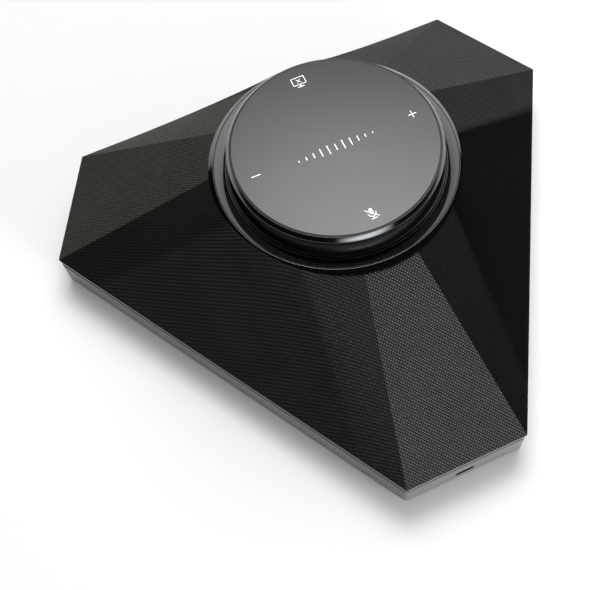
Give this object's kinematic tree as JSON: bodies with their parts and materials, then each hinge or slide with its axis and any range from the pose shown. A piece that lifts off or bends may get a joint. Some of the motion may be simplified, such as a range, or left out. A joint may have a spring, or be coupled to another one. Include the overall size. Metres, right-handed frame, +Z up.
{
  "type": "conference speakerphone",
  "caption": "Low three-legged conference speakerphone with a fabric-covered faceted shell, a raised round touch disc, a USB-C socket and a light-coloured base.",
  "frame": {"origin": "centre of the object's bounding box in plan, at the level the rubber feet stand on; the disc's axis is 19.94 mm behind it along +Y", "axes": "+Z up, -Y out of the front leg's end with the USB-C socket, +X to the right seen from the front"},
  "size_m": [0.2542, 0.2202, 0.088],
  "materials": {
    "light_grey_plastic": "fine satin moulded plastic",
    "black_plastic": "matt moulded plastic",
    "gloss_black": "piano-black gloss",
    "charcoal_fabric": "fine acoustic weave",
    "dark_glass": "smoked cover glass, back-painted",
    "rubber": "matt",
    "steel": "zinc-plated or drawn",
    "ferrite": "sintered ferrite",
    "circuit_board": "glass-epoxy board with solder mask",
    "flex_film": "polyimide film",
    "paper_cone": "treated pulp",
    "copper": "enamelled winding wire",
    "diffuser": "frosted light guide"
  },
  "bodies": {
    "housing": {"base_tray": "light_grey_plastic", "carrier_screw_1": "steel", "carrier_screw_2": "steel", "carrier_screw_3": "steel", "case_screw_1": "steel", "case_screw_2": "steel", "case_screw_3": "steel", "case_screw_4": "steel", "case_screw_5": "steel", "case_screw_6": "steel", "collar": "gloss_black", "disc_housing": "gloss_black", "fabric_cover": "charcoal_fabric", "foot_front": "rubber", "foot_left": "rubber", "foot_right": "rubber", "indicator_led": "diffuser", "led_ring_board": "circuit_board", "magnet_ring": "ferrite", "magnet_top_plate": "steel", "magnet_yoke": "steel", "main_board": "circuit_board", "mic_board_front": "circuit_board", "mic_board_left": "circuit_board", "mic_board_right": "circuit_board", "mic_gasket_front": "rubber", "mic_gasket_left": "rubber", "mic_gasket_right": "rubber", "opening_bezel": "gloss_black", "pod_carrier": "black_plastic", "processor_shield": "steel", "speaker_baffle": "black_plastic", "speaker_basket": "steel", "speaker_enclosure": "black_plastic", "speaker_gasket": "rubber", "speaker_screw_1": "steel", "speaker_screw_2": "steel", "speaker_screw_3": "steel", "spider": "paper_cone", "stack_screw_1": "steel", "stack_screw_2": "steel", "stack_screw_3": "steel", "status_light_ring": "diffuser", "surround": "rubber", "top_ring": "gloss_black", "touch_board": "circuit_board", "touch_glass": "dark_glass", "touch_ribbon": "flex_film", "trim_frame": "light_grey_plastic", "upper_shell": "black_plastic", "usb_board": "circuit_board", "usb_c_receptacle": "steel", "usb_c_tongue": "black_plastic", "usb_ribbon": "flex_film"},
    "diaphragm": {"dust_cap": "paper_cone", "speaker_cone": "paper_cone", "voice_coil": "copper"}
  },
  "joints": [
    {"name": "diaphragm_travel", "type": "slide", "parent": "housing", "child": "diaphragm", "axis": [0, 0, 1], "range_m": [-0.0015, 0.0015], "stiffness_N_per_m": 1500, "deforming": ["surround", "spider"]}
  ]
}
